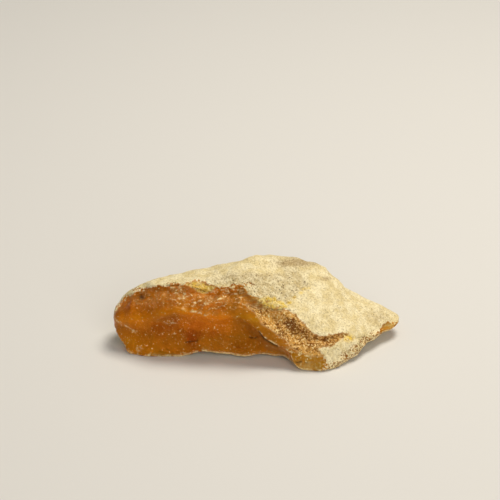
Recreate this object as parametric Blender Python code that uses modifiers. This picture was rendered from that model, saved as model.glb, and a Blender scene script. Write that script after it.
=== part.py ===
"""A rough lump of copal, the young fossil resin: one solid, broken open along its front.

The lump is lofted through cross sections that stand along X. Nine lines drawn by hand along the lump
fix each section: toe, waist, brow, root, lip, crown, shoulder, heel and belly. The other points of a
section lie between them.
Conchoidal chips are then struck out of the skin, the weathered skin is made uneven, and the underside
is cut off flat where the lump touches what it rests on.
"""

import bmesh
import bpy
from mathutils import Vector, noise

MM = 0.001

# The driving sizes of the lump, and how finely it is made.
LENGTH = 56.5 * MM
DEPTH = 26.0 * MM
HEIGHT = 16.4 * MM
ROUNDING = 3              # times that the cage is subdivided
TRIANGLES = 7600          # about how many are kept

# Cross sections, in millimetres along X. They stand closer where the foot swings out of the face.
STATIONS = (-28.0, -27.2, -26.0, -24.2, -22.0, -19.6, -17.2, -15.2, -13.0, -10.6, -8.0, -5.4, -3.2, -1.8,
            -0.6, 0.8, 2.2, 3.8, 5.4, 6.6, 7.6, 8.8, 10.2, 11.8, 13.6, 15.2, 16.8, 18.4, 20.2, 22.4, 24.6,
            26.4, 27.6, 28.4)

# Each line is a list of (x, y, z) in millimetres: x to the right, y to the back, z up from the floor.
# y = 0 is the front of the foot.
TOE = ((-28.0, 10.8, 4.2), (-27.4, 9.4, 2.1), (-26.6, 7.8, 0.7), (-23.5, 6.0, -0.5), (-16.0, 5.2, -0.7),
       (-14.2, 5.2, -0.1), (-11.5, 5.2, 0.7), (-3.5, 4.8, 0.6), (2.8, 5.4, 0.6), (5.4, 5.2, 0.5),
       (6.6, 4.0, 0.2), (7.8, 2.4, -0.2), (9.2, 1.4, -0.6), (11.0, 1.0, -0.8), (13.2, 1.2, -0.8),
       (15.2, 2.0, -0.6), (17.0, 3.2, -0.2), (20.5, 6.2, 0.8), (24.5, 10.4, 1.8), (26.5, 11.8, 2.1),
       (28.4, 14.2, 2.4))
# The crest across the front face, which drops away to become the rim of the foot.
WAIST = ((-28.0, 10.4, 6.8), (-26.2, 8.6, 6.6), (-23.5, 7.2, 7.5), (-18.5, 5.8, 9.4), (-15.8, 5.3, 10.4),
         (-12.5, 4.8, 10.4), (-8.0, 4.3, 9.5), (-5.0, 4.2, 10.1), (-1.5, 3.6, 9.5), (0.3, 2.8, 7.6),
         (1.7, 2.2, 5.6), (3.0, 2.0, 4.7), (5.3, 1.5, 4.2), (6.2, 1.2, 3.3), (6.7, 0.8, 2.2),
         (7.6, 0.2, 1.3), (9.2, -0.2, 1.0), (12.5, -0.3, 1.3), (14.8, 0.5, 1.5), (17.0, 2.0, 1.6),
         (20.5, 5.2, 2.2), (24.5, 9.6, 2.9), (28.4, 13.6, 3.1))
# Half way up the upper facet, then the top edge of the foot's own crust.
BROW = ((-28.0, 10.7, 7.1), (-26.2, 8.8, 8.6), (-23.8, 8.0, 10.0), (-18.5, 6.9, 11.9), (-16.5, 6.7, 12.5),
        (-15.0, 6.2, 12.1), (-9.0, 5.6, 12.2), (-3.8, 5.0, 12.1), (-1.4, 4.4, 11.3), (0.3, 3.8, 10.1),
        (2.4, 3.0, 8.2), (4.7, 2.3, 5.9), (7.2, 1.4, 4.0), (8.6, 1.2, 4.1), (11.1, 1.3, 4.9),
        (14.7, 2.4, 5.0), (17.3, 4.0, 5.1), (18.7, 4.6, 3.9), (20.4, 5.6, 2.8), (24.5, 10.4, 3.0),
        (28.4, 14.0, 3.2))
# The groove right under the crust.
ROOT = ((-28.0, 11.4, 6.9), (-25.5, 10.8, 9.2), (-23.3, 10.3, 11.3), (-20.7, 10.1, 12.4), (-18.0, 9.6, 12.9),
        (-15.0, 8.8, 12.8), (-11.0, 8.4, 12.8), (-8.0, 8.2, 13.0), (-3.8, 8.0, 13.3), (-2.2, 7.6, 12.9),
        (-1.1, 6.8, 11.9), (1.3, 6.2, 10.8), (3.8, 5.8, 9.9), (5.7, 5.6, 9.2), (7.1, 5.2, 8.0),
        (8.6, 4.5, 6.4), (10.0, 4.0, 5.5), (11.5, 3.8, 4.9), (14.0, 4.2, 4.8), (15.6, 4.9, 5.1),
        (17.2, 5.0, 5.1), (18.8, 5.2, 4.1), (20.4, 6.4, 2.9), (24.8, 11.2, 2.8), (28.4, 14.6, 3.1))
# The edge of the weathered crust, all along the front.
LIP = ((-28.0, 12.0, 6.8), (-25.5, 11.5, 9.6), (-23.3, 10.7, 11.8), (-20.7, 10.5, 13.0), (-16.6, 9.4, 13.9),
       (-13.4, 9.0, 14.2), (-8.0, 8.4, 14.2), (-2.4, 7.8, 14.7), (-1.1, 6.8, 13.0), (1.3, 6.0, 11.8),
       (3.8, 5.6, 10.9), (5.7, 5.4, 10.7), (7.1, 5.2, 9.8), (8.6, 4.4, 8.0), (10.0, 3.8, 7.0),
       (11.2, 3.2, 6.1), (13.6, 3.2, 5.7), (15.5, 4.2, 6.1), (17.2, 5.0, 5.8), (18.8, 5.4, 4.5),
       (20.4, 6.6, 3.3), (24.8, 11.6, 3.2), (28.4, 14.8, 3.3))
CROWN = ((-28.1, 13.2, 6.4), (-26.4, 14.0, 8.9), (-24.3, 13.5, 10.8), (-22.0, 13.0, 12.5),
         (-19.6, 13.0, 13.8), (-17.3, 13.2, 14.2), (-15.0, 13.8, 14.0), (-9.2, 15.0, 14.5),
         (-5.3, 15.4, 15.4), (-2.6, 15.6, 16.3), (-0.6, 15.8, 17.2), (1.7, 16.0, 17.0), (4.0, 16.4, 16.2),
         (8.4, 17.4, 15.4), (12.3, 17.4, 14.7), (14.0, 17.2, 13.6), (15.0, 16.8, 12.2), (16.9, 16.4, 10.0),
         (19.0, 16.2, 8.4), (23.0, 16.2, 6.0), (25.7, 16.4, 5.0), (27.4, 16.2, 4.4), (28.4, 15.2, 3.4))
SHOULDER = ((-28.0, 14.4, 5.6), (-25.0, 17.0, 7.0), (-20.0, 19.4, 9.0), (-12.0, 21.6, 9.6), (-4.0, 23.4, 10.6),
            (2.0, 24.2, 11.6), (8.0, 25.0, 10.6), (13.0, 24.6, 8.6), (18.0, 22.6, 6.0), (23.0, 19.8, 4.4),
            (28.4, 16.4, 3.2))
HEEL = ((-28.0, 13.6, 4.2), (-25.0, 15.6, 1.8), (-20.0, 18.6, 0.8), (-12.0, 21.0, 0.2), (-4.0, 22.8, -0.5),
        (2.0, 24.0, -0.6), (8.0, 24.4, -0.5), (13.0, 23.0, -0.1), (18.0, 20.6, 0.6), (23.0, 18.0, 1.4),
        (28.4, 16.0, 2.4))
BELLY = ((-28.0, 12.8, 4.0), (-25.0, 12.0, 1.0), (-20.0, 12.0, 0.6), (-12.0, 13.4, 1.0), (-4.0, 14.4, 0.8),
         (2.0, 14.6, 0.6), (8.0, 13.6, 0.6), (13.0, 12.4, 0.6), (18.0, 13.6, 1.0), (23.0, 14.6, 1.6),
         (28.4, 15.4, 2.2))

# How far the rows between the lines stand off the straight, in millimetres at x.
FACE_HOLLOW = ((-28.0, 0.0), (-24.0, 0.6), (-16.0, 1.2), (-4.0, 1.4), (4.0, 1.1), (7.0, 0.2), (9.0, -0.4),
               (16.0, -0.5), (20.0, -0.2), (28.4, 0.0))
SLOPE_RISE = ((-28.0, 0.2), (-18.0, 0.5), (-6.0, 0.7), (4.0, 0.9), (12.0, 0.8), (20.0, 0.6), (28.4, 0.1))
BACK_RISE = ((-28.0, 0.2), (-16.0, 1.0), (0.0, 1.4), (12.0, 1.4), (20.0, 0.8), (28.4, 0.1))
FLANK_SWELL = ((-28.0, 0.1), (-16.0, 0.8), (0.0, 1.2), (12.0, 1.2), (20.0, 0.8), (28.4, 0.1))

# How sharp the rows are kept when the cage is rounded, from 0 to 1: row, first x, last x, sharpness.
TOE_ROW, WAIST_ROW, BROW_ROW, ROOT_ROW, LIP_ROW, CROWN_ROW = 0, 2, 3, 4, 5, 7
SHARP_ROWS = (
    (TOE_ROW, -26.0, 5.0, 0.5),
    (WAIST_ROW, -24.0, 0.0, 0.5),
    (WAIST_ROW, 0.0, 5.0, 0.7),
    (WAIST_ROW, 5.0, 8.0, 0.4),
    (BROW_ROW, 0.0, 8.0, 0.4),
    (BROW_ROW, 8.0, 18.5, 0.6),
    (ROOT_ROW, -24.0, 16.0, 0.4),
    (LIP_ROW, -26.0, 26.0, 0.8),
    (CROWN_ROW, -20.0, 20.0, 0.3),
)

# Chips struck out of the skin: middle, the way it faces, width across and depth, all in millimetres.
CHIPS = (
    ((-21.5, 7.6, 11.2), (-0.3, -1.0, 0.4), 6.5, 0.5),
    ((-25.6, 7.6, 3.6), (-0.7, -1.0, -0.1), 6.0, 0.4),
    ((-9.6, 8.2, 14.0), (0.0, -0.7, 1.0), 5.5, 0.7),
    ((-13.0, 6.4, 12.0), (0.1, -1.0, 0.4), 6.0, 0.5),
    ((-6.0, 6.0, 12.0), (0.1, -1.0, 0.4), 6.0, 0.4),
    ((-15.5, 5.9, 6.0), (-0.1, -1.0, 0.1), 8.0, 0.5),
    ((-4.5, 5.5, 6.0), (0.2, -1.0, 0.0), 8.0, 0.6),
    ((3.2, 4.6, 9.2), (-0.3, -1.0, 0.6), 4.0, 0.4),
    ((7.0, 2.8, 6.0), (-0.3, -1.0, 0.5), 4.0, 0.4),
    ((-8.0, 23.4, 6.0), (-0.1, 1.0, 0.2), 14.0, 1.6),
    ((15.0, 22.4, 4.0), (0.5, 1.0, 0.2), 9.0, 1.1),
    ((-22.0, 18.4, 5.4), (-0.6, 1.0, 0.2), 8.0, 0.8),
)
CHIP_FACING = 0.2         # a chip is struck only where the skin turns this much towards it

WEATHER_SEED = 14         # which of the possible skins this one is
SWELL_SIZE = 7.0 * MM     # the broad swells of the skin, then the lumps on them
SWELL_REACH = 0.7 * MM
SWELL_START = Vector((3.1, 1.7, 5.3))
LUMP_SIZE = 2.6 * MM
LUMP_REACH = 0.3 * MM
LUMP_START = Vector((9.4, 2.2, 0.6))
CUT_SNAP = 0.02 * MM      # points this near the floor are brought onto it before the cut
CUT_REACH = 0.001 * MM    # and the cut takes points this near as lying on it
BOTTOM_FRONT = 0.35       # how far from the belly to the toe the last point of a section stands


def along(line, x):
    """What a line drawn by hand holds at x, straight between its points."""
    if x <= line[0][0]:
        return line[0][1:]
    for start, end in zip(line, line[1:]):
        if x <= end[0]:
            share = (x - start[0]) / (end[0] - start[0])
            return tuple(a + (b - a) * share for a, b in zip(start[1:], end[1:]))
    return line[-1][1:]


def section(x):
    """The points of one cross section, from the toe up the front, over the crown and back below."""
    toe, waist, brow, root, lip, crown, shoulder, heel, belly = (
        Vector(along(line, x)) for line in (TOE, WAIST, BROW, ROOT, LIP, CROWN, SHOULDER, HEEL, BELLY)
    )
    face = toe.lerp(waist, 0.5) + Vector((along(FACE_HOLLOW, x)[0], 0.0))
    slope = lip.lerp(crown, 0.5) + Vector((0.0, along(SLOPE_RISE, x)[0]))
    back = crown.lerp(shoulder, 0.5) + Vector((0.0, along(BACK_RISE, x)[0]))
    flank = shoulder.lerp(heel, 0.5) + Vector((along(FLANK_SWELL, x)[0], 0.0))
    ring = (toe, face, waist, brow, root, lip, slope, crown, back, shoulder, flank, heel,
            heel.lerp(belly, 0.5), belly.lerp(toe, BOTTOM_FRONT))
    return [Vector((x, point.x, point.y)) * MM for point in ring]


def loft_cage():
    """The coarse cage: one ring of points for each section, with a ladder of faces over each end."""
    cage = bmesh.new()
    crease = cage.edges.layers.float.new("crease_edge")
    rings = [[cage.verts.new(point) for point in section(x)] for x in STATIONS]
    count = len(rings[0])
    for ring, following in zip(rings, rings[1:]):
        for i in range(count):
            j = (i + 1) % count
            cage.faces.new((ring[i], following[i], following[j], ring[j]))
    for ring in (rings[0], rings[-1]):
        for i in range(count // 2 - 1):
            cage.faces.new((ring[i], ring[i + 1], ring[count - 2 - i], ring[count - 1 - i]))
    for row, first, last, sharpness in SHARP_ROWS:
        for x, ring, following in zip(STATIONS, rings, rings[1:]):
            if first <= x < last:
                cage.edges.get((ring[row], following[row]))[crease] = sharpness
    bmesh.ops.recalc_face_normals(cage, faces=cage.faces)
    return cage


def new_object(name, cage, collection):
    mesh = bpy.data.meshes.new(name)
    cage.to_mesh(mesh)
    cage.free()
    made = bpy.data.objects.new(name, mesh)
    collection.objects.link(made)
    return made


def apply_modifiers(made):
    """Keep the shape that the modifiers give, as the object's own mesh."""
    graph = bpy.context.evaluated_depsgraph_get()
    graph.update()
    finished = bpy.data.meshes.new_from_object(made.evaluated_get(graph))
    old = made.data
    made.modifiers.clear()
    made.data = finished
    bpy.data.meshes.remove(old)
    finished.name = made.name


def subdivide(made, levels):
    smooth = made.modifiers.new("soft form", "SUBSURF")
    smooth.levels = levels
    smooth.render_levels = levels
    apply_modifiers(made)


def strike_chips(shape):
    """Press a shallow bowl with a sharp rim into the skin at each chip."""
    for middle, facing, across, depth in CHIPS:
        out = Vector(facing).normalized()
        half = across * MM / 2.0
        shape.normal_update()
        for vert in shape.verts:
            away = vert.co - Vector(middle) * MM
            height = away.dot(out)
            spread = (away - out * height).length / half
            if spread < 1.0 and abs(height) < half and vert.normal.dot(out) > CHIP_FACING:
                vert.co -= out * depth * MM * (1.0 - spread * spread)


def weather(shape):
    """Carry every point a little way in a smooth wandering field: broad swells, then smaller lumps."""
    noise.seed_set(WEATHER_SEED)
    for vert in shape.verts:
        swell = noise.noise_vector(vert.co / SWELL_SIZE + SWELL_START)
        lump = noise.noise_vector(vert.co / LUMP_SIZE + LUMP_START)
        vert.co += swell * SWELL_REACH + lump * LUMP_REACH


def set_to_size(shape):
    """Bring the lump to its driving sizes, with the floor kept at z = 0, and centre it over the origin."""
    low = Vector([min(vert.co[k] for vert in shape.verts) for k in range(3)])
    high = Vector([max(vert.co[k] for vert in shape.verts) for k in range(3)])
    middle = (low + high) / 2.0
    for vert in shape.verts:
        vert.co.x = (vert.co.x - middle.x) * LENGTH / (high.x - low.x)
        vert.co.y = (vert.co.y - middle.y) * DEPTH / (high.y - low.y)
        vert.co.z = vert.co.z * HEIGHT / high.z


def thin_out(made):
    """Fewer triangles where the skin is even."""
    fewer = made.modifiers.new("fewer triangles", "DECIMATE")
    count = sum(len(face.vertices) - 2 for face in made.data.polygons)
    fewer.ratio = min(1.0, TRIANGLES / count)
    apply_modifiers(made)


def cut_rests(made):
    """Cut the underside flat at z = 0, where the lump touches what it rests on."""
    shape = bmesh.new()
    shape.from_mesh(made.data)
    for vert in shape.verts:
        if abs(vert.co.z) < CUT_SNAP:
            vert.co.z = 0.0
    everything = shape.verts[:] + shape.edges[:] + shape.faces[:]
    bmesh.ops.bisect_plane(shape, geom=everything, dist=CUT_REACH, plane_co=(0.0, 0.0, 0.0),
                           plane_no=(0.0, 0.0, -1.0), clear_outer=True)
    open_edges = [edge for edge in shape.edges if edge.is_boundary]
    bmesh.ops.holes_fill(shape, edges=open_edges, sides=0)
    shape.to_mesh(made.data)
    shape.free()


def resin_material():
    """Clear orange-brown resin. The crust's cream is a matter of looks, not of this solid."""
    material = bpy.data.materials.new("copal_resin")
    material.use_nodes = True
    shader = material.node_tree.nodes["Principled BSDF"]
    shader.inputs["Base Color"].default_value = (0.62, 0.29, 0.06, 1.0)
    shader.inputs["Roughness"].default_value = 0.3
    shader.inputs["Metallic"].default_value = 0.0
    shader.inputs["IOR"].default_value = 1.54
    return material


def main():
    for old in list(bpy.data.objects):
        bpy.data.objects.remove(old, do_unlink=True)
    parts = bpy.data.collections.new("copal")
    bpy.context.scene.collection.children.link(parts)

    lump = new_object("copal", loft_cage(), parts)
    subdivide(lump, ROUNDING)
    shape = bmesh.new()
    shape.from_mesh(lump.data)
    strike_chips(shape)
    weather(shape)
    set_to_size(shape)
    shape.to_mesh(lump.data)
    shape.free()
    thin_out(lump)
    cut_rests(lump)
    lump.data.materials.clear()
    lump.data.materials.append(resin_material())
    lump.data.shade_smooth()


main()
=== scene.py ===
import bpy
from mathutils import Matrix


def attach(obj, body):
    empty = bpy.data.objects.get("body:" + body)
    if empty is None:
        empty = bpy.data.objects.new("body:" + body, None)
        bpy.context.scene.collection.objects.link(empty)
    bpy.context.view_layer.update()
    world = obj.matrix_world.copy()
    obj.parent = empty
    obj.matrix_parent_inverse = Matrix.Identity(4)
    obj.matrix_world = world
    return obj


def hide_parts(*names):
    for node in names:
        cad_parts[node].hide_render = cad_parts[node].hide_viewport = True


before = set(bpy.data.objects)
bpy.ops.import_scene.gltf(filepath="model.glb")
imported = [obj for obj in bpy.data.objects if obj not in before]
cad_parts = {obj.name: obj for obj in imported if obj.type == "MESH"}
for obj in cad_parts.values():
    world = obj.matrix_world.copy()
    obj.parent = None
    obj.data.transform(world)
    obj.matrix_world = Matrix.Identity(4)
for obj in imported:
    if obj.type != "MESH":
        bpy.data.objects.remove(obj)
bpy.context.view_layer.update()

import math
from types import SimpleNamespace

import bmesh
import bpy
import numpy as np
from mathutils import Vector, noise

scene = bpy.context.scene
mm = 0.001

# The camera stands where the photograph was taken from: in front, 28 degrees up.
view = {
    "aimAt": (-1.46 * mm, 36.96 * mm, 0.11 * mm),
    "distance": 446 * mm,
    "rise": 28.0,               # degrees above the floor
    "lens": 150.0,
    "sensor": 36.0,
    "clipStart": 10 * mm,
    "exposure": 0.0,
}
rise = math.radians(view["rise"])

# Places on the front are given on a sheet that faces the camera, in millimetres: across, then up the sheet.
front = {
    # The whole broken face, with the crust's ragged edge along its top.
    "broken": (
        (-29.0, 2.0), (-28.6, 3.8), (-28.1, 4.9), (-27.7, 6.0), (-26.8, 7.3), (-25.7, 8.3), (-24.4, 9.1),
        (-22.6, 9.9), (-20.9, 10.3), (-18.5, 10.6), (-17.0, 10.7), (-15.4, 10.8), (-13.8, 10.9),
        (-12.4, 11.4), (-11.0, 11.3), (-9.6, 10.9), (-8.4, 10.5), (-7.7, 10.2), (-6.1, 10.4), (-4.5, 10.7),
        (-3.0, 10.9), (-2.3, 9.8), (-1.5, 8.7), (0.1, 8.3), (2.0, 7.9), (4.0, 7.1), (5.3, 6.1), (6.7, 5.4),
        (7.7, 4.7), (8.6, 3.6), (9.6, 2.3), (10.8, 1.2), (12.0, 0.5), (13.2, 0.7), (15.1, 1.2), (16.6, 1.4),
        (17.6, 1.1), (16.9, 0.6), (15.9, 0.0), (14.6, -0.9), (13.3, -1.2), (11.5, -1.3), (11.9, -2.2),
        (12.6, -3.1), (13.3, -4.0), (12.7, -5.0), (12.2, -6.4), (12.0, -8.0), (9.9, -8.0), (8.4, -7.8),
        (7.0, -6.5), (6.3, -5.7), (5.1, -5.0), (-13.0, -5.0), (-22.6, -5.4), (-26.0, -4.0), (-28.5, -0.1),
    ),
    "tip": ((24.2, 2.0), (25.0, 2.7), (26.3, 3.1), (28.0, 3.2), (28.5, 2.0), (26.0, 0.8), (24.7, 0.6),
            (23.9, 1.2)),
    # Rough brown broken grains under the crust, right of the middle and on into the notch.
    "hackly": (
        (-1.8, 7.2), (0.5, 6.4), (2.7, 5.9), (6.8, 5.7), (8.6, 3.9), (10.4, 1.9), (11.8, 0.6), (14.9, 1.3),
        (17.8, 1.2), (17.2, 0.5), (15.4, -0.8), (13.9, -1.5), (11.6, -1.6), (12.6, -2.9), (10.4, -2.8),
        (8.2, -2.6), (6.4, -1.4), (5.4, 0.1), (3.4, 1.7), (1.1, 3.0), (0.0, 4.8), (-2.0, 6.9),
    ),
    # The smooth golden strip that runs down into the foot.
    "ramp": (
        (-0.1, 2.3), (0.8, 2.9), (2.0, 2.7), (3.4, 1.4), (4.5, 0.2), (5.5, -1.0), (6.6, -1.9), (8.7, -2.6),
        (10.7, -2.7), (12.6, -3.1), (13.3, -4.0), (12.7, -5.0), (11.7, -8.0), (9.9, -8.0), (8.4, -7.8),
        (7.0, -6.5), (6.3, -2.6), (5.7, -2.2), (4.5, -1.6), (2.9, -0.9), (1.7, -0.2), (0.8, 0.6),
        (0.3, 1.3),
    ),
    "yellowChip": ((-13.7, 10.9), (-12.4, 11.5), (-10.9, 11.3), (-9.6, 10.8), (-8.0, 10.4), (-8.9, 9.6),
                   (-10.2, 8.9), (-11.5, 9.3), (-12.6, 10.0)),
    "yellowPatch": ((0.4, 8.1), (1.4, 8.4), (3.4, 8.1), (5.0, 7.2), (6.0, 6.4), (5.0, 6.2), (2.7, 6.0),
                    (1.1, 6.4)),
    # Where the crust is coarse and a little lower, under a soft ridge.
    "gritty": ((-9.5, 11.7), (-8.2, 12.3), (-4.0, 12.9), (1.1, 12.5), (3.6, 13.0), (7.6, 13.2), (9.4, 11.9),
               (9.6, 10.6), (7.8, 8.9), (5.8, 7.2), (4.0, 7.2), (0.1, 8.0), (-1.8, 8.6), (-3.2, 10.7),
               (-6.1, 10.6)),
    # Lines, each a row of points.
    "crack": (
        ((0.2, 1.6), (0.8, 0.6), (1.7, -0.2), (2.9, -0.9), (3.7, -1.3)),
    ),
    # The crest: a ridge with a golden band, partly a painted highlight along it.
    "crest": (
        ((-26.7, 3.9), (-24.2, 4.1), (-21.7, 4.4), (-18.8, 5.2), (-16.2, 5.7), (-13.0, 5.6), (-9.7, 4.8),
         (-8.2, 4.3), (-5.5, 5.0), (-2.7, 4.5), (-0.3, 4.1)),
    ),
    # White lines along broken edges: pale breakage with a painted highlight on it.
    "whiteLinesAndHighlights": (
        ((-26.6, 7.4), (-27.4, 6.2), (-27.9, 5.0), (-27.8, 4.0), (-27.2, 3.4), (-26.2, 2.8), (-24.5, 1.8),
         (-23.4, 1.3)),
        ((-16.9, 10.2), (-15.6, 10.1), (-14.3, 10.2)),
        ((-15.9, 8.8), (-15.7, 8.0), (-14.0, 8.0), (-12.2, 8.0)),
        ((-9.4, 7.8), (-8.0, 7.8), (-6.5, 8.2)),
        ((-13.4, 5.6), (-11.6, 5.5), (-9.7, 4.8), (-8.4, 4.8)),
        ((0.4, 1.7), (1.1, 0.7), (2.0, 0.1), (3.2, -0.6), (4.7, -1.3), (5.9, -2.0)),
        ((6.7, -3.6), (7.0, -5.0), (8.0, -6.2)),
    ),
    # Dark lines: partly painted shadow under the crust's overhanging edge, partly dark lines in the resin.
    "darkLinesAndShadows": (
        ((-17.8, 10.7), (-16.2, 10.7), (-14.4, 10.7)),
        ((-13.9, -0.6), (-13.1, -0.4), (-12.4, -0.4), (-11.7, -0.3)),
        ((-1.6, 0.4), (-0.7, 0.2), (0.0, 0.6)),
        ((2.7, 5.9), (4.5, 6.0), (5.7, 6.3), (6.8, 5.6)),
        ((7.4, -4.3), (8.6, -4.1), (9.5, -4.4)),
        ((-12.4, 10.3), (-11.1, 9.8), (-10.2, 9.3)),
    ),
    # Soft areas from here on: middle, reach across and up, and strength.
    # Another tone in the resin, darker (-) or lighter (+); the last one is painted light over the shade
    # below the crust's step.
    "tones": (
        (-25.0, -0.4, 2.8, 2.4, 0.55),
        (-20.0, -2.6, 4.0, 1.6, 0.35),
        (-16.7, -2.6, 2.6, 0.8, 0.3),
        (-12.7, 0.2, 1.9, 1.6, -0.75),
        (-17.5, 1.5, 4.0, 2.0, -0.25),
        (-5.8, 10.2, 2.4, 0.8, -0.15),
        (-0.5, 4.3, 3.2, 1.6, 0.25),
        (-4.0, -3.2, 6.0, 0.7, 0.25),
        (-24.0, 6.0, 3.0, 1.4, -0.1),
        (9.5, -4.6, 3.4, 2.8, 1.4),
        (3.2, 4.6, 2.2, 1.1, 1.1),
        (6.6, 3.2, 1.5, 1.0, -0.5),
        (3.0, -2.4, 3.0, 1.2, 0.5),
        (-2.3, 0.7, 2.5, 1.5, 0.3),
        (-22.0, -2.4, 4.0, 1.8, 0.25),
        (26.0, 1.8, 2.5, 2.0, 1.2),
        # painted light: lightens the shade that falls below the crust's step
        (-1.0, 8.6, 1.8, 1.3, 0.8),
    ),
    # Fine breakage that turns the clear resin milky.
    "haze": (
        (-20.8, 8.2, 4.0, 1.5, 0.6),
        (-23.1, 7.4, 0.9, 0.4, 0.9),
        (-14.8, 9.3, 2.2, 1.1, 0.6),
        (-12.0, 7.2, 4.5, 0.9, 0.12),
        (-8.0, 8.0, 2.4, 0.8, 0.3),
        (-3.0, 8.4, 2.0, 1.6, 0.2),
        (-8.5, 5.3, 3.0, 0.6, 0.15),
    ),
    # Where the painted glints and pale specks lie close.
    "flecked": (
        (-14.4, 7.0, 1.6, 0.4, 1.0),
        (-16.5, 1.2, 1.5, 0.4, 0.8),
        (-17.0, 3.5, 1.5, 0.6, 0.6),
        (-5.0, 9.8, 3.0, 1.2, 1.0),
        (-15.0, 9.2, 2.4, 1.4, 0.9),
        (-9.0, 7.4, 4.0, 1.2, 0.7),
        (9.0, -2.8, 3.4, 1.8, 1.0),
        (-21.0, -3.4, 5.0, 0.7, 1.1),
    ),
    "gold": (
        (9.7, 9.8, 0.9, 0.35, 1.4),
        (8.4, 9.1, 0.5, 0.3, 1.0),
        (7.2, 8.3, 0.45, 0.4, 0.9),
        (6.2, 7.3, 0.4, 0.35, 1.2),
        (17.6, 0.3, 1.1, 0.6, 1.3),
        (-0.7, 7.9, 1.4, 0.4, 0.5),
        # painted light: lightens the shade below the crust's step
        (-2.4, 9.0, 0.9, 0.6, 0.3),
        (0.2, 7.3, 0.9, 0.5, 0.7),
        (9.6, -5.2, 2.4, 1.5, 0.32),
        (26.4, 2.6, 1.6, 0.4, 0.6),
    ),
    # Grey-brown streaks on the crust, partly painted shade along its ridge and tip.
    "greyAndShadedCrust": (
        (7.4, 14.9, 3.4, 0.75, 1.8),
        (4.0, 15.2, 2.2, 0.3, 0.5),
        (10.8, 14.7, 1.5, 0.4, 1.0),
        (8.0, 14.2, 3.0, 0.9, 0.4),
        (13.2, 11.7, 0.9, 0.4, 1.1),
        (-2.5, 12.6, 5.0, 1.0, 0.25),
        (23.6, 4.2, 2.2, 1.3, 0.5),
    ),
    # Where the crust is crumbling away.
    "crumbling": (
        (17.4, -3.2, 2.0, 1.3, 1.0),
        (19.4, -1.8, 1.9, 1.3, 1.0),
        (21.4, -0.3, 1.9, 1.3, 1.0),
        (23.0, 0.9, 1.4, 1.1, 0.9),
        (15.4, -4.7, 2.2, 1.0, 0.9),
        (13.2, -5.2, 1.6, 1.0, 0.9),
        (-23.4, 9.9, 3.6, 0.7, 0.75),
        (-27.2, 7.0, 0.8, 1.6, 0.6),
        (-16.6, 11.0, 2.2, 0.5, 0.7),
        (-2.0, 10.9, 2.6, 0.9, 0.7),
        (0.5, 9.0, 1.6, 0.9, 0.6),
        (9.8, 3.4, 0.8, 1.8, 0.4),
    ),
    # Where the lump is a little fuller than the solid, the strength in millimetres.
    "fuller": (
        (16.8, 10.4, 2.0, 1.6, 0.45),
        (8.0, 16.6, 1.6, 1.0, 0.1),
    ),
    # Round marks: middle and reach.
    "pit": ((-22.8, 8.5), 0.7),
    "bubble": ((-23.2, -1.9), 0.42),
}

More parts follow.
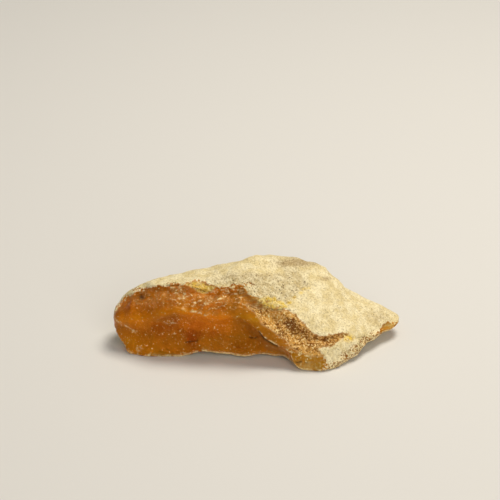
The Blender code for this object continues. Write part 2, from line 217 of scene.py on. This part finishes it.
lump = {
    "grain": 0.21 * mm,             # size of the faces it is remade with
    "smoothing": 3,
    # all lengths from here on are in millimetres
    "seenFrom": 0.12,               # how edge-on a face is where the front's marks fade out on it
    "crustEdge": 0.25,              # width over which the crust steps up
    "crumblyEdge": 0.9,             # width over which it turns crumbly and thin
    "edgeNoise": {"middle": 0.25, "fine": 0.2},     # how far the crust's edge wanders
    "ledgeSpacing": 1.5,            # of the small broken ledges on the upper facet
    "ledgeNoise": {"middle": 0.8, "broad": 0.5},
    "ledgeDrop": 0.82,              # part of a ledge at which it breaks off
    "paleLitLedge": (0.75, 0.9),       # and over which its edge turns pale, with a painted highlight
    "upperFacet": (5.0, 7.0),       # up the sheet, where it starts and where it is full
    "ledgesFrom": (-17.5, -15.5),   # across the sheet
    "bluntEndFrom": (-26.0, -28.2),
    "lowerEdgeTo": (0.9, 0.2),      # above the lower outline
    "paleRimTo": (0.5, 0.15),
    "strike": (-3.0, 9.0),          # the middle of the front's ripples on the sheet
    "rippleRate": 3.3,              # in radians for each millimetre
    "bubbleRim": 0.16,              # width of the ring round the bubble
    "streakShape": (0.35, 1.0, 1.2),        # the upper facet's fine breakage runs along the lump, and its streaks carry painted glints
    "streakSize": 0.45,
    "streakStart": 31.1,
    "streakEdge": (0.28, 0.40),
    # The noises that everything shares: size, starting place and Blender's name of the kind.
    "noises": {
        "broad": (4.0, 3.7, "PERLIN_ORIGINAL"),
        "middle": (1.5, 11.3, "PERLIN_ORIGINAL"),
        "fine": (0.7, 5.9, "PERLIN_ORIGINAL"),
        "sand": (0.42, 21.7, "PERLIN_ORIGINAL"),
        "lumps": (3.2, 17.3, "PERLIN_ORIGINAL"),
        "cells": (1.1, 8.1, "VORONOI_F1"),
        "facets": (2.4, 14.9, "VORONOI_F2F1"),
    },
    # The front's outlines: how far inside one its area starts and is full, and noise that moves its edge.
    "areaEdges": {
        "hackly": (-0.35, 0.35, {"middle": 0.5}),
        "ramp": (-0.25, 0.25, {}),
        "yellowChip": (-0.2, 0.2, {"fine": 0.3}),
        "yellowPatch": (-0.3, 0.3, {"fine": 0.5}),
        "gritty": (-0.5, 0.4, {"middle": 0.5}),
    },
    "lineReach": {"whiteLinesAndHighlights": 0.16, "darkLinesAndShadows": 0.17, "crest": 0.9, "crack": 0.22},  # half their width
    # Noise that breaks up marks and surfaces: where a patch starts, where it is full, and the noise.
    "patches": {
        "white": (-0.25, 0.35, {"fine": 1.0, "middle": 0.5}),
        "dark": (-0.5, 0.1, {"fine": 1.0}),
        "gold": (-0.6, 0.1, {"fine": 1.0}),
        "goldPatch": (-0.9, 0.0, {"fine": 1.0, "sand": 0.6}),
        "palePatch": (0.0, 0.4, {"sand": 1.0, "fine": 0.3}),
        "paleLitLedgeEdges": (0.0, 0.4, {"fine": 1.0, "broad": 0.3}),
        "lowerRim": (-0.8, -0.1, {"middle": 1.0, "fine": 1.0}),
        "ripples": (-0.3, 0.3, {"broad": 1.0}),
        "pocks": (-0.55, -0.8, {"cells": 1.0}),
        # and what takes the place of the soft areas on the sides that the camera doesn't see
        "greyBehind": (0.0, 0.5, {"broad": 1.0, "middle": 0.3}),
        "hazeBehind": (0.0, 0.5, {"middle": 1.0}),
        "crumblingBehind": (0.1, 0.6, {"broad": -1.0}),
    },
    # Fresh chips through the crust on the back: middle, way it faces in the part's own frame, and width.
    "backChips": (
        ((-8.5, 10.7, 5.9), (-0.1, 1.0, 0.2), 13.0),
        ((14.6, 9.7, 3.9), (0.5, 1.0, 0.2), 8.6),
        ((-22.6, 5.7, 5.3), (-0.6, 1.0, 0.2), 7.4),
    ),
    "chipFacing": 0.2,              # how much a face has to look the chip's way
    "chipEdge": {"broad": 2.6, "middle": 1.4, "fine": 0.5},
    "chipSlope": 1.6,               # width over which a chip gets its depth
    "chipDepth": {"even": 0.34, "chipRipples": 0.09, "facets": -0.16},
    "chipBlow": (0.35, 0.0, 0.3),   # where it was struck, in widths from its middle
    "chipRippleRate": 3.2,
    # Bare places of the underside: how far a face looks down where they start and are full, their noise
    # in millimetres inside their edge, and how far the other faces are kept out of them.
    "lookingDown": (0.35, 0.75),
    "bareBelow": {"even": -0.6, "broad": 2.0, "middle": 0.5},
    "heldOff": 4.0,
    # The resin's tone, from 0 for deep to 1 for honey, and how far a soft area of strength 1 moves it.
    # the crest's lift in tone is partly a painted highlight along the ridge
    "tone": {"even": 0.5, "broad": 0.16, "middle": 0.08, "crest": 0.36, "ramp": 0.08},
    "toneChange": 0.5,
    # The relief out of the solid's skin: on each ground, how much of each noise or mark. Gone is where the
    # crust is gone, and plain is where such resin isn't broken into grains.
    "relief": {
        "everywhere": {"even": -0.09, "dark": -0.16, "crack": -0.25, "pit": -0.35, "yellow": -0.20,
                       "bubbleRim": 0.04, "bubble": -0.12, "hollow": -1.0, "fuller": 1.0},
        "crust": {"even": 0.126, "lumps": 0.22, "middle": 0.10, "fine": 0.06, "sand": 0.04, "facets": 0.05,
                  "pocks": -0.14},
        "crumblyCrust": {"even": -0.10, "fine": -0.30},
        "gritty": {"even": -0.14, "fine": 0.06, "sand": 0.07},
        "gone": {"bluntEnd": 0.22},
        "seen": {"lowerEdge": 0.14},
        "plain": {"ripples": 0.03, "middle": 0.03, "fine": 0.015, "crest": 0.14, "white": 0.06},
        "upper": {"facets": 0.13, "fine": 0.04, "streaks": 0.07},
        "ledged": {"ledges": 0.22},
        "hackly": {"even": -0.10, "middle": 0.18, "fine": 0.26, "sand": 0.14},
    },
}


def softStep(low, high, values):
    share = np.clip((values - low) / (high - low), 0.0, 1.0)
    return share * share * (3.0 - 2.0 * share)


def bell(away, reach):
    return np.exp(-(away / reach) ** 2)


def speckle(points, size, start, kind="PERLIN_ORIGINAL"):
    # Blender's noise at each point, from about -1 to 1, with features of this size in millimetres
    places = points * (1.0 / (size * mm)) + start
    return np.array([noise.noise(place, noise_basis=kind) for place in places.tolist()])


def blended(at, amounts):
    return sum(amount * getattr(at, name) for name, amount in amounts.items())


def onSheet(points):
    # where points stand on the sheet that faces the camera, in millimetres
    up = points[:, 2] * math.cos(rise) + points[:, 1] * math.sin(rise)
    return np.stack([points[:, 0], up], axis=1) / mm


def reachFrom(spots, line, closed=False):
    # distance from each spot to a line on the sheet, and whether a closed line goes round the spot
    ends = list(line[1:]) + ([line[0]] if closed else [])
    nearest = np.full(len(spots), np.inf)
    within = np.zeros(len(spots), bool)
    for start, end in zip(line, ends):
        start = np.array(start)
        step = np.array(end) - start
        share = np.clip((spots - start) @ step / (step @ step), 0.0, 1.0)
        gap = spots - start - share[:, None] * step
        nearest = np.minimum(nearest, np.hypot(gap[:, 0], gap[:, 1]))
        if closed and step[1] != 0.0:
            passes = (start[1] > spots[:, 1]) != (start[1] + step[1] > spots[:, 1])
            within ^= passes & (spots[:, 0] < start[0] + (spots[:, 1] - start[1]) * step[0] / step[1])
    return nearest, within


def inside(spots, outline):
    # how far inside an outline each spot is, in millimetres, and less than nothing outside it
    nearest, within = reachFrom(spots, outline, closed=True)
    return np.where(within, nearest, -nearest)


def area(at, name):
    start, full, edge = lump["areaEdges"][name]
    return softStep(start, full, inside(at.spots, front[name]) + blended(at, edge)) * at.seen


def lines(at, name):
    nearest = np.min([reachFrom(at.spots, line)[0] for line in front[name]], axis=0)
    return bell(nearest, lump["lineReach"][name]) * at.seen


def softAreas(at, name):
    # how strong each soft area is at each spot, one row for each area
    rows = []
    for across, up, reachAcross, reachUp, strength in front[name]:
        away = ((at.spots[:, 0] - across) / reachAcross) ** 2 + ((at.spots[:, 1] - up) / reachUp) ** 2
        rows.append(strength * np.exp(-away))
    return np.array(rows)


def strongest(at, name):
    return softAreas(at, name).max(axis=0) * at.seen


def patchy(at, name):
    start, full, amounts = lump["patches"][name]
    return softStep(start, full, blended(at, amounts))


def unseen(at, name):
    return 0.5 * (1.0 - at.seen) * patchy(at, name)


def aboveOutline(spots, facesCamera):
    # how far each spot is above the lower outline that the camera sees, in millimetres
    columnWidth = 0.4
    column = np.floor((spots[:, 0] - spots[:, 0].min()) / columnWidth).astype(int)
    lowest = np.full(column.max() + 1, np.inf)
    np.minimum.at(lowest, column[facesCamera], spots[facesCamera, 1])
    return spots[:, 1] - lowest[column]


def pointValues(mesh, name):
    flat = np.zeros(len(mesh.vertices) * 3)
    mesh.vertices.foreach_get(name, flat)
    return flat.reshape(-1, 3)


def keep(mesh, name, values):
    # a number for every point, which the material reads by name
    store = mesh.attributes.new(name, "FLOAT", "POINT")
    store.data.foreach_set("value", np.clip(values, 0.0, 1.0).astype(np.float32))


def dropCrumbs(shape):
    # the remake can leave a crumb of its own, so only what hangs together with the topmost point is kept
    top = max(shape.verts, key=lambda vert: vert.co.z)
    reached = {top}
    ends = [top]
    while ends:
        vert = ends.pop()
        for edge in vert.link_edges:
            other = edge.other_vert(vert)
            if other not in reached:
                reached.add(other)
                ends.append(other)
    crumbs = [vert for vert in shape.verts if vert not in reached]
    bmesh.ops.delete(shape, geom=crumbs, context="VERTS")


def remadeCopy(node, name):
    # the solid's own shape in even, much finer faces
    shape = bmesh.new()
    shape.from_mesh(node.data)
    bmesh.ops.remove_doubles(shape, verts=shape.verts, dist=0.0001 * mm)
    mesh = bpy.data.meshes.new(name)
    shape.to_mesh(mesh)
    shape.free()
    piece = bpy.data.objects.new(name, mesh)
    scene.collection.objects.link(piece)
    finer = piece.modifiers.new("finer", "REMESH")
    finer.mode = "VOXEL"
    finer.voxel_size = lump["grain"]
    graph = bpy.context.evaluated_depsgraph_get()
    graph.update()
    remade = bpy.data.meshes.new_from_object(piece.evaluated_get(graph))
    piece.modifiers.clear()
    piece.data = remade
    bpy.data.meshes.remove(mesh)
    shape = bmesh.new()
    shape.from_mesh(remade)
    dropCrumbs(shape)
    for _ in range(lump["smoothing"]):
        bmesh.ops.smooth_vert(shape, verts=shape.verts, factor=0.5, use_axis_x=True, use_axis_y=True,
                              use_axis_z=True)
    shape.to_mesh(remade)
    shape.free()
    remade.name = name
    return piece


def measure(mesh):
    # what is known of each point: its place, the way it faces, and the noises there
    at = SimpleNamespace(even=1.0, everywhere=1.0)
    at.points = pointValues(mesh, "co")
    at.normals = pointValues(mesh, "normal")
    at.spots = onSheet(at.points)
    at.facing = at.normals @ np.array((0.0, -math.cos(rise), math.sin(rise)))
    at.seen = softStep(-lump["seenFrom"], lump["seenFrom"], at.facing)
    at.below = softStep(*lump["lookingDown"], -at.normals[:, 2])
    at.aboveEdge = aboveOutline(at.spots, at.facing > 0.0)
    for name, (size, start, kind) in lump["noises"].items():
        setattr(at, name, speckle(at.points, size, start, kind))
    along = speckle(at.points * np.array(lump["streakShape"]), lump["streakSize"], lump["streakStart"])
    at.streaks = softStep(*lump["streakEdge"], along)
    return at


def chipBack(at):
    # bare ground and hollows of the chips on the back
    at.hollow = np.zeros(len(at.points))
    for centre, way, width in lump["backChips"]:
        out = np.array(Vector(way).normalized())
        away = at.points / mm - np.array(centre)
        height = away @ out
        spread = np.linalg.norm(away - height[:, None] * out, axis=1) + blended(at, lump["chipEdge"])
        onBack = (np.abs(height) < width / 2.0) & (at.normals @ out > lump["chipFacing"])
        chip = np.where(onBack, width / 2.0 - spread, -np.inf)
        at.bare = np.maximum(at.bare, chip)
        blow = np.linalg.norm(away - width * np.array(lump["chipBlow"]), axis=1)
        at.chipRipples = np.sin(blow * lump["chipRippleRate"] + 1.5 * at.broad)
        at.hollow += softStep(0.0, lump["chipSlope"], chip) * blended(at, lump["chipDepth"])


def breakOpen(at):
    # bare: how far inside the broken places a point is, in millimetres; crust and gone follow from it
    at.bare = np.maximum(inside(at.spots, front["broken"]), inside(at.spots, front["tip"]))
    at.bare = at.bare + blended(at, lump["edgeNoise"])
    hidden = np.minimum(at.bare, -lump["crumblyEdge"])
    at.bare = np.where(at.facing > -lump["seenFrom"], at.bare, hidden)
    chipBack(at)
    window = blended(at, lump["bareBelow"]) - lump["heldOff"] * (1.0 - at.below)
    at.bare = np.maximum(at.bare, window)
    at.gone = softStep(-lump["crustEdge"], lump["crustEdge"], at.bare)
    at.crust = 1.0 - at.gone


def markFront(at):
    # single marks of the front, each from 0 to 1
    at.hackly = area(at, "hackly") * at.gone
    at.ramp = area(at, "ramp") * (1.0 - at.hackly)
    at.yellow = area(at, "yellowChip")
    at.bright = area(at, "yellowPatch")
    at.gritty = area(at, "gritty") * at.crust
    at.white = lines(at, "whiteLinesAndHighlights") * patchy(at, "white")
    at.dark = lines(at, "darkLinesAndShadows") * patchy(at, "dark")
    at.crest = lines(at, "crest")
    at.crack = lines(at, "crack")
    (across, up), reach = front["pit"]
    away = np.hypot(at.spots[:, 0] - across, at.spots[:, 1] - up + 0.3 * at.fine)
    at.pit = bell(away, reach) * at.seen
    (across, up), reach = front["bubble"]
    away = np.hypot(at.spots[:, 0] - across, at.spots[:, 1] - up)
    at.bubble = bell(away, reach) * at.seen
    at.bubbleRim = bell(away - reach, lump["bubbleRim"]) * at.seen


def markSoftly(at):
    # what comes and goes gradually
    at.tone = blended(at, lump["tone"]) + lump["toneChange"] * softAreas(at, "tones").sum(axis=0) * at.seen
    at.grey = strongest(at, "greyAndShadedCrust") * (0.95 + 0.6 * at.middle) + unseen(at, "greyBehind")
    at.haze = strongest(at, "haze") + unseen(at, "hazeBehind")
    at.crumbling = strongest(at, "crumbling") + unseen(at, "crumblingBehind")
    at.fleckedAreas = strongest(at, "flecked")
    at.gold = strongest(at, "gold") * patchy(at, "gold")
    at.fuller = softAreas(at, "fuller").max(axis=0)
    at.bluntEnd = softStep(*lump["bluntEndFrom"], at.spots[:, 0])
    at.lowerEdge = softStep(*lump["lowerEdgeTo"], at.aboveEdge)


def breakFinely(at):
    # the small forms of crust and resin, and the grounds that they lie on
    at.pocks = patchy(at, "pocks")
    at.crumblyCrust = at.crust * at.crumbling
    at.plain = at.gone * (1.0 - at.hackly)
    at.upper = softStep(*lump["upperFacet"], at.spots[:, 1]) * at.plain * at.seen
    at.ledged = at.upper * softStep(*lump["ledgesFrom"], at.spots[:, 0])
    climb = at.spots[:, 1] / lump["ledgeSpacing"] + blended(at, lump["ledgeNoise"])
    at.climb = climb - np.floor(climb)
    at.ledges = at.climb - softStep(lump["ledgeDrop"], 1.0, at.climb)
    strikeAcross, strikeUp = lump["strike"]
    strike = np.hypot(at.spots[:, 0] - strikeAcross, at.spots[:, 1] - strikeUp)
    at.ripples = np.sin(strike * lump["rippleRate"] + 2.0 * at.broad) * patchy(at, "ripples")


def dressLump(piece):
    mesh = piece.data
    at = measure(mesh)
    breakOpen(at)
    markFront(at)
    markSoftly(at)
    breakFinely(at)

    grounds = lump["relief"].items()
    raised = sum(getattr(at, ground) * blended(at, amounts) for ground, amounts in grounds)
    at.points += at.normals * raised[:, None] * mm
    at.points[:, 2] = np.maximum(at.points[:, 2], 0.0)
    mesh.vertices.foreach_set("co", at.points.ravel())
    mesh.update()
    mesh.shade_smooth()

    # Pale marks: painted highlights with pale breakage on the white lines and ledge edges, painted glints
    # in the streaks, and a pale line along the lower outline and round the bubble.
    paleLitLedgeEdges = at.ledged * softStep(*lump["paleLitLedge"], at.climb) * patchy(at, "paleLitLedgeEdges")
    lowerRim = softStep(*lump["paleRimTo"], at.aboveEdge) * patchy(at, "lowerRim") * at.seen
    streakGlints = at.streaks * at.fleckedAreas
    pale = np.maximum.reduce([at.white, 0.8 * paleLitLedgeEdges, 0.8 * lowerRim, 0.5 * at.bubbleRim, streakGlints])
    palePatch = 0.8 * at.bright * patchy(at, "palePatch")
    goldPatch = at.bright * patchy(at, "goldPatch")
    crumblyEdge = lump["crumblyEdge"]
    keep(mesh, "crust", softStep(crumblyEdge, -crumblyEdge, at.bare) * (1.0 - at.yellow))
    keep(mesh, "crumbling", at.crumbling)
    keep(mesh, "gritty", at.gritty)
    keep(mesh, "grey", at.grey)
    keep(mesh, "hackly", at.hackly)
    keep(mesh, "tone", at.tone)
    keep(mesh, "haze", at.haze * at.gone)
    keep(mesh, "flecked", np.maximum(at.fleckedAreas, 0.9 * at.hackly))
    keep(mesh, "gold", np.maximum.reduce([at.yellow, goldPatch, at.gold]))
    # pale marks and painted highlights, which the material turns to the glint colour
    keep(mesh, "white", np.maximum(pale * at.gone, palePatch))
    # painted shadow under the crust's edge and in the crack, with the dark lines and the dark pit
    keep(mesh, "dark", np.maximum.reduce([0.8 * at.dark, 0.9 * at.crack, at.pit]))


class Wire:
    # one output of a node; sums on it add the Math nodes
    def __init__(self, recipe, socket):
        self.recipe = recipe
        self.socket = socket

    def maths(self, operation, first, second):
        return self.recipe.add("ShaderNodeMath", {"operation": operation}, {0: first, 1: second})

    def __add__(self, other):
        return self.maths("ADD", self, other)

    def __sub__(self, other):
        return self.maths("SUBTRACT", self, other)

    def __rsub__(self, other):
        return self.maths("SUBTRACT", other, self)

    def __mul__(self, other):
        return self.maths("MULTIPLY", self, other)

    __radd__ = __add__
    __rmul__ = __mul__


class Recipe:
    # a material and its nodes
    def __init__(self, name):
        self.material = bpy.data.materials.new(name)
        self.material.use_nodes = True
        self.tree = self.material.node_tree
        self.tree.nodes.clear()

    def add(self, kind, settings=None, sockets=None, output=0):
        node = self.tree.nodes.new(kind)
        for name, value in (settings or {}).items():
            if name == "stops":
                ramp = node.color_ramp
                ramp.elements[0].position, ramp.elements[0].color = value[0]
                ramp.elements[1].position, ramp.elements[1].color = value[-1]
                for position, tint in value[1:-1]:
                    ramp.elements.new(position).color = tint
            else:
                setattr(node, name, value)
        for name, value in (sockets or {}).items():
            if isinstance(value, Wire):
                self.tree.links.new(value.socket, node.inputs[name])
            else:
                node.inputs[name].default_value = value
        return Wire(self, node.outputs[output]) if node.outputs else None

    def painted(self, name):
        return self.add("ShaderNodeAttribute", {"attribute_name": name}, output="Fac")

    def noise(self, size, detail, roughness):
        # size of the features in millimetres, on the piece's own coordinates
        place = self.add("ShaderNodeTexCoord", output="Object")
        return self.add("ShaderNodeTexNoise", None, {"Vector": place, "Scale": 1.0 / (size * mm),
                                                     "Detail": detail, "Roughness": roughness})

    def between(self, value, low, high):
        return self.add("ShaderNodeMapRange", {"interpolation_type": "SMOOTHSTEP"},
                        {"Value": value, "From Min": low, "From Max": high})

    def specks(self, spacing, reach, left, uneven):
        # specks of a reach in parts of their spacing, bitten by an uneven value, with a share left out
        place = self.add("ShaderNodeTexCoord", output="Object")
        cells = {"Vector": place, "Scale": 1.0 / (spacing * mm)}
        away = self.add("ShaderNodeTexVoronoi", None, cells)
        pick = self.add("ShaderNodeTexVoronoi", None, cells, output="Color")
        near = self.between(away + uneven * 0.5 - 0.25, reach, reach * 0.4)
        return near * self.between(pick, left, left + 0.05)

    def larger(self, first, second):
        return self.add("ShaderNodeMath", {"operation": "MAXIMUM"}, {0: first, 1: second})

    def mix(self, share, first, second):
        return self.add("ShaderNodeMix", {"data_type": "RGBA"}, {0: share, 6: first, 7: second}, output=2)

    def bump(self, strength, distance, height):
        return self.add("ShaderNodeBump", None, {"Strength": strength, "Distance": distance * mm,
                                                 "Height": height})


def colour(red, green, blue):
    return (red, green, blue, 1.0)


# Noises of the material: size in millimetres, detail and roughness.
textures = {
    "grains": (0.34, 3.0, 0.65),
    "crumbs": (0.75, 2.0, 0.6),
    "blotches": (2.2, 3.0, 0.6),
}

resin = {
    "deep": colour(0.50, 0.095, 0.002),
    "amber": colour(0.78, 0.265, 0.006),
    "golden": colour(0.98, 0.35, 0.005),
    "honey": colour(1.0, 0.44, 0.008),
    "toneStops": (("deep", 0.15), ("amber", 0.5), ("golden", 0.8), ("honey", 1.0)),
    "toneBlotches": 0.4,            # how far the noises move the tone
    "toneGrains": 0.7,
    "milky": colour(0.50, 0.27, 0.035),
    "glint": colour(1.0, 0.84, 0.42),
    "brown": colour(0.19, 0.075, 0.018),
    "brownLight": colour(0.72, 0.39, 0.095),
    "yellow": colour(0.84, 0.57, 0.07),
    "ochre": colour(0.40, 0.20, 0.015),
    "shadow": colour(0.06, 0.02, 0.002),
    "roughness": 0.40,
    "brokenRoughness": 0.3,         # added where it is broken into grains
    "milkyRoughness": 0.15,
    "clearness": 0.66,
    "ior": 1.54,
    "shine": 0.15,
    "shineTint": colour(1.0, 0.60, 0.12),
    "absorbed": colour(0.98, 0.76, 0.02),
    "density": 170.0,               # per metre
    "glintSpeckEdge": (0.64, 0.67),      # of the grains' noise, where painted glints and pale specks begin and are full
    "glintSpeckPull": 0.06,              # how far the areas of painted glints lower that
    "yellowEdge": (0.36, 0.54),     # of the same noise, from ochre to yellow
    "brownEdge": (0.42, 0.58),      # and from brown to light brown
    # how far the opaque shader covers the clear one
    "brokenCover": 0.75,
    "glintSpeckCover": 0.9,
    "milkyCover": 0.5,
    "yellowCover": 0.6,
    "bump": 0.4,
    "bumpDistance": 0.12,           # in millimetres
}

crustLook = {
    "cream": colour(0.80, 0.65, 0.33),
    "pale": colour(0.96, 0.84, 0.53),
    "sand": colour(0.44, 0.33, 0.16),
    "grey": colour(0.34, 0.215, 0.095),
    "pits": colour(0.15, 0.09, 0.035),
    "pitSpacing": 0.55,             # in millimetres
    "pitReach": 0.32,               # in parts of the spacing
    "pitsLeftOut": 0.40,
    "roughness": 0.9,
    "ior": 1.45,
    "shine": 0.2,
    "bump": 0.9,
    "bumpDistance": 0.18,
    "blotchEdge": (0.35, 0.65),     # of the blotches' noise, from cream to pale
    "edge": (0.42, 0.58),           # how sharply it ends on the resin
    "edgeCrumbs": 1.2,              # how far the noises and the crumbling move its edge
    "edgeGrains": 0.9,
    "edgeCrumbling": 0.35,
}


def copalMaterial():
    recipe = Recipe("copalLook")
    crust = recipe.painted("crust")
    crumbling = recipe.painted("crumbling")
    gritty = recipe.painted("gritty")
    grey = recipe.painted("grey")
    hackly = recipe.painted("hackly")
    tone = recipe.painted("tone")
    haze = recipe.painted("haze")
    flecked = recipe.painted("flecked")
    gold = recipe.painted("gold")
    white = recipe.painted("white")
    dark = recipe.painted("dark")

    grains = recipe.noise(*textures["grains"])
    crumbs = recipe.noise(*textures["crumbs"])
    blotches = recipe.noise(*textures["blotches"])
    glintSpecks = recipe.between(grains + flecked * resin["glintSpeckPull"], *resin["glintSpeckEdge"])
    pits = recipe.specks(crustLook["pitSpacing"], crustLook["pitReach"], crustLook["pitsLeftOut"], crumbs)
    yellow = recipe.mix(recipe.between(grains, *resin["yellowEdge"]), resin["ochre"], resin["yellow"])
    yellow = recipe.mix(recipe.between(crumbs, 0.52, 0.60) * 0.4, yellow, resin["glint"])

    # the clear resin
    stops = tuple((position, resin[name]) for name, position in resin["toneStops"])
    moved = tone + (blotches - 0.5) * resin["toneBlotches"] + (grains - 0.5) * resin["toneGrains"]
    body = recipe.add("ShaderNodeValToRGB", {"stops": stops}, {"Fac": moved})
    body = recipe.mix(gold, body, yellow)
    # darkened toward the shadow colour: painted shadow under the crust's edge and in the crack, with the
    # dark lines and pit
    body = recipe.mix(dark, body, resin["shadow"])
    dulled = resin["roughness"] + resin["brokenRoughness"] * hackly + resin["milkyRoughness"] * haze
    clear = recipe.add("ShaderNodeBsdfPrincipled", None, {
        "Base Color": body,
        "Roughness": dulled,
        "IOR": resin["ior"],
        "Specular IOR Level": resin["shine"],
        "Specular Tint": resin["shineTint"],
        "Transmission Weight": resin["clearness"],
        "Normal": recipe.bump(resin["bump"], resin["bumpDistance"],
                              crumbs + grains * 0.5 + hackly * grains * 2.0)})

    # the crust: cream and pale, greyer in places, partly a grey streak and partly painted shade, with sand
    # and small dark pits
    blotchy = recipe.between(blotches, *crustLook["blotchEdge"])
    cover = recipe.mix(blotchy, crustLook["cream"], crustLook["pale"])
    # greyer along the ridge and in the gritty area below it, partly painted shade
    greyed = grey * (0.42 + 0.58 * recipe.between(grains, 0.64, 0.40)) + 0.24 * gritty
    cover = recipe.mix(greyed, cover, crustLook["grey"])
    sanded = recipe.between(grains, 0.58, 0.36) * (0.50 + 0.4 * grey + 0.2 * gritty)
    cover = recipe.mix(sanded, cover, crustLook["sand"])
    cover = recipe.mix(recipe.between(crumbs, 0.50, 0.62) * gritty * 0.6, cover, crustLook["pale"])
    cover = recipe.mix(pits * (0.38 + 0.3 * grey + 0.45 * gritty), cover, crustLook["pits"])

    # the resin's opaque broken grains, milky places, yellow, and painted glints with pale specks, on the
    # same shader as the crust
    light = grains + (crumbs - 0.5) * 0.6 + (blotches - 0.5) * 0.4 + (tone - 0.5) * 0.3
    brown = recipe.mix(recipe.between(light, *resin["brownEdge"]), resin["brown"], resin["brownLight"])
    glinting = recipe.between(crumbs + (grains - 0.5) * 0.5, 0.58, 0.66) * 0.6
    brown = recipe.mix(glinting, brown, resin["glint"])
    crumbly = recipe.between(crumbling * recipe.between(grains, 0.60, 0.44), 0.35, 0.65)
    cover = recipe.mix(recipe.larger(hackly, crumbly * 0.9), cover, brown)
    cover = recipe.mix(haze, cover, resin["milky"])
    cover = recipe.mix(gold * 0.9, cover, yellow)
    # painted glints and highlights in the glint colour, over pale specks and breakage
    cover = recipe.mix(recipe.larger(glintSpecks * (1.0 - crust), white), cover, resin["glint"])
    # the same painted shadow and dark lines over the opaque shader
    cover = recipe.mix(dark * 0.8, cover, crustLook["pits"])
    opaque = recipe.add("ShaderNodeBsdfPrincipled", None, {
        "Base Color": cover,
        "Roughness": crustLook["roughness"],
        "IOR": crustLook["ior"],
        "Specular IOR Level": crustLook["shine"],
        "Normal": recipe.bump(crustLook["bump"], crustLook["bumpDistance"],
                              (grains + crumbs) * (1.0 + 0.8 * gritty))})

    # where the opaque shader shows
    edge = crust + (crumbs - 0.5) * crustLook["edgeCrumbs"] + (grains - 0.5) * crustLook["edgeGrains"]
    edge = edge - crumbly * crustLook["edgeCrumbling"]
    share = recipe.larger(recipe.between(edge, *crustLook["edge"]), hackly * resin["brokenCover"])
    share = recipe.larger(share, glintSpecks * resin["glintSpeckCover"])
    share = recipe.larger(share, haze * recipe.between(crumbs, 0.38, 0.62) * resin["milkyCover"])
    share = recipe.larger(share, white * recipe.between(grains, 0.3, 0.55))
    share = recipe.larger(share, gold * resin["yellowCover"])
    surface = recipe.add("ShaderNodeMixShader", None, {0: share, 1: clear, 2: opaque})
    depth = recipe.add("ShaderNodeVolumeAbsorption", None, {"Color": resin["absorbed"],
                                                            "Density": resin["density"]})
    recipe.add("ShaderNodeOutputMaterial", None, {"Surface": surface, "Volume": depth})
    return recipe.material


def addCamera():
    sight = bpy.data.cameras.new("camera")
    sight.lens = view["lens"]
    sight.sensor_width = view["sensor"]
    sight.clip_start = view["clipStart"]
    camera = bpy.data.objects.new("camera", sight)
    back = Vector((0.0, -math.cos(rise), math.sin(rise))) * view["distance"]
    camera.location = Vector(view["aimAt"]) + back
    camera.rotation_euler = (math.pi / 2.0 - rise, 0.0, 0.0)
    scene.collection.objects.link(camera)
    scene.camera = camera


studio = {
    "floorColour": colour(0.72, 0.70, 0.66),
    "floorRoughness": 0.9,
    "floorSide": 6.0,
    "ambient": colour(1.0, 0.98, 0.95),
    "ambientStrength": 0.22,
    # name, place of the lamp, which looks at the lump's middle, side in metres, watts and colour
    "lamps": (
        ("keyLamp", (0.11, 0.11, 0.42), 0.20, 1.6, (1.0, 0.95, 0.86)),
        ("frontLamp", (0.14, -0.45, 0.25), 0.40, 1.15, (1.0, 0.96, 0.90)),
    ),
}


def addFloor():
    shape = bmesh.new()
    bmesh.ops.create_grid(shape, x_segments=1, y_segments=1, size=studio["floorSide"] / 2.0)
    mesh = bpy.data.meshes.new("floor")
    shape.to_mesh(mesh)
    shape.free()
    floor = bpy.data.objects.new("floor", mesh)
    scene.collection.objects.link(floor)
    paper = Recipe("paper")
    sheet = paper.add("ShaderNodeBsdfPrincipled", None, {"Base Color": studio["floorColour"],
                                                         "Roughness": studio["floorRoughness"]})
    paper.add("ShaderNodeOutputMaterial", None, {"Surface": sheet})
    mesh.materials.append(paper.material)


def addLight():
    for name, place, side, watts, tint in studio["lamps"]:
        lamp = bpy.data.lights.new(name, "AREA")
        lamp.shape = "SQUARE"
        lamp.size = side
        lamp.energy = watts
        lamp.color = tint
        holder = bpy.data.objects.new(name, lamp)
        holder.location = place
        holder.rotation_euler = (-Vector(place)).to_track_quat("-Z", "Y").to_euler()
        scene.collection.objects.link(holder)
    world = bpy.data.worlds.new("soft surroundings")
    world.use_nodes = True
    sky = world.node_tree.nodes["Background"]
    sky.inputs["Color"].default_value = studio["ambient"]
    sky.inputs["Strength"].default_value = studio["ambientStrength"]
    scene.world = world
    scene.view_settings.view_transform = "Standard"
    scene.view_settings.exposure = view["exposure"]


addCamera()
addFloor()
addLight()
print("camera, floor and lamps are in place")

piece = remadeCopy(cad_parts["copal"], "copalLump")
print("the lump is remade with", len(piece.data.polygons), "faces")
dressLump(piece)
piece.data.materials.clear()
piece.data.materials.append(copalMaterial())
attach(piece, "root")
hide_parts("copal")
print("the lump has its relief and its material")
